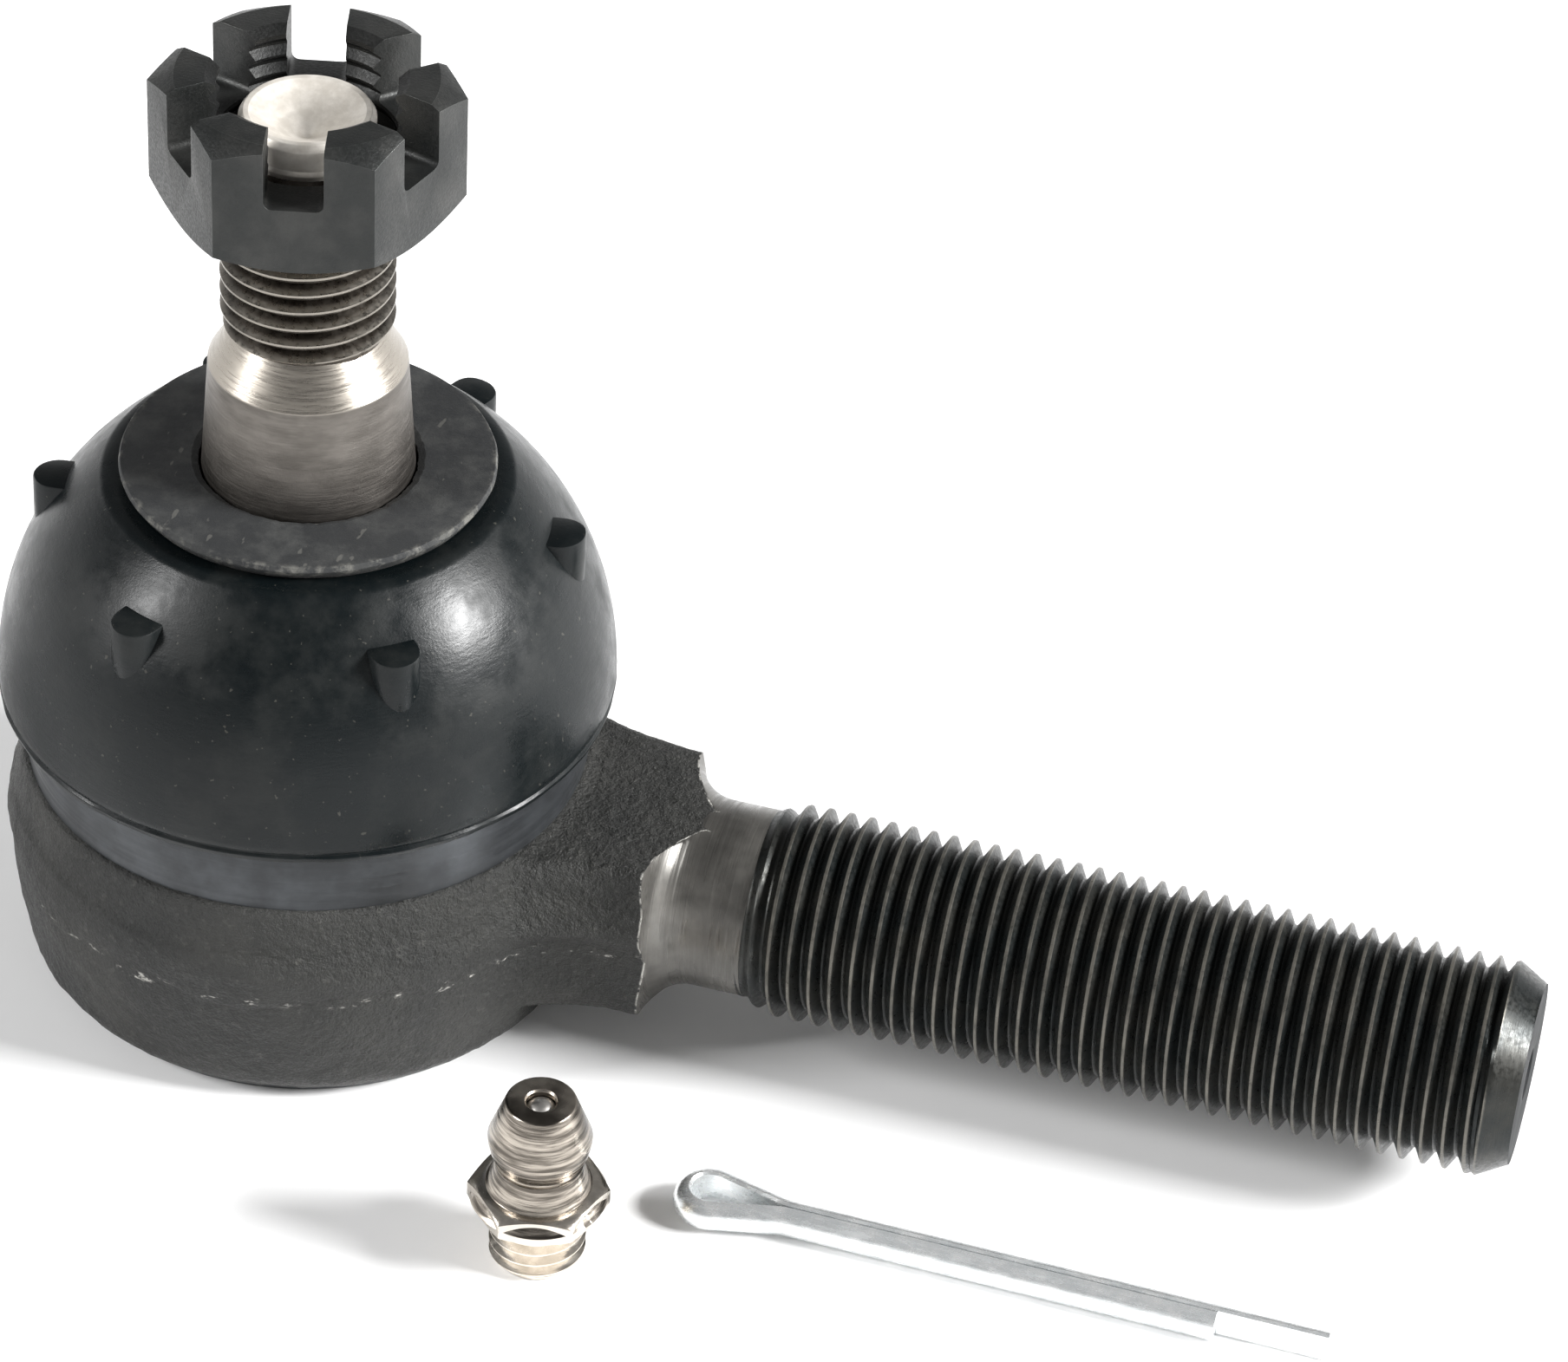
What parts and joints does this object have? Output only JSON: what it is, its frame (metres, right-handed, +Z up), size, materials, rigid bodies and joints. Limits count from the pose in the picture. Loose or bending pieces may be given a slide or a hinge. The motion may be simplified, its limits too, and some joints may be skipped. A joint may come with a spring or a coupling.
{
  "type": "tie rod end",
  "caption": "Outer tie rod end: forged eye with a threaded stem, tapered ball stud with a castle nut, domed boot, and a loose grease fitting and cotter pin.",
  "frame": {"origin": "centre of the ball, where the stud's axis crosses the stem's axis", "axes": "+Z up along the ball stud towards its nut, +X along the threaded stem away from the eye"},
  "size_m": [0.1039, 0.0509, 0.0682],
  "materials": {
    "black_forging": "rough black phosphated forged steel, with smooth turned bands",
    "bare_steel": "bare ground and turned steel",
    "black_nut": "satin black oxide",
    "gloss_rubber": "smooth glossy moulded rubber",
    "matt_rubber": "matt moulded rubber",
    "bearing_steel": "oiled sintered steel",
    "spring_steel": "blued spring steel",
    "plate_steel": "pressed steel, dark oiled",
    "nickel": "bright nickel plate",
    "zinc": "bright blue-white zinc plate"
  },
  "bodies": {
    "eye": {"housing": "black_forging", "cover_plate": "plate_steel", "preload_spring": "spring_steel"},
    "swivel": {"upper_bearing": "bearing_steel", "dust_boot": "gloss_rubber"},
    "collar": {"seal_ring": "matt_rubber"},
    "stud": {"ball_stud": "bare_steel"},
    "nut": {"castle_nut": "black_nut"},
    "lower_seat": {"lower_bearing": "bearing_steel"},
    "fitting": {"grease_fitting": "nickel", "spring_retainer": "plate_steel", "check_spring": "spring_steel"},
    "valve_ball": {"check_ball": "nickel"},
    "pin": {"cotter_pin": "zinc"}
  },
  "joints": [
    {"name": "ball_azimuth", "type": "hinge", "parent": "eye", "child": "swivel", "pos_m": [0, 0, 0], "axis": [0, 0, 1], "continuous": true},
    {"name": "ball_tilt", "type": "hinge", "parent": "swivel", "child": "collar", "pos_m": [0, 0, 0], "axis": [1, 0, 0], "range_deg": [-20, 20], "deforming": ["dust_boot"]},
    {"name": "stud_spin", "type": "hinge", "parent": "collar", "child": "stud", "pos_m": [0, 0, 0], "axis": [0, 0, 1], "continuous": true},
    {"name": "castle_nut_travel", "type": "slide", "parent": "stud", "child": "nut", "axis": [0, 0, 1], "range_m": [-0.009, 0.008]},
    {"name": "bearing_preload", "type": "slide", "parent": "eye", "child": "lower_seat", "axis": [0, 0, 1], "range_m": [-0.0005, 0], "stiffness_N_per_m": 60000, "springref_m": 0.0005, "deforming": ["preload_spring"]},
    {"name": "fitting_lift", "type": "slide", "parent": "eye", "child": "fitting", "axis": [0, 0, 1], "range_m": [0, 0.06]},
    {"name": "check_ball_press", "type": "slide", "parent": "fitting", "child": "valve_ball", "axis": [0, 0, -1], "range_m": [0, 0.0006], "stiffness_N_per_m": 500, "springref_m": -0.001, "deforming": ["check_spring"]},
    {"name": "pin_lift", "type": "slide", "parent": "eye", "child": "pin", "axis": [0, 0, 1], "range_m": [0, 0.06]}
  ]
}
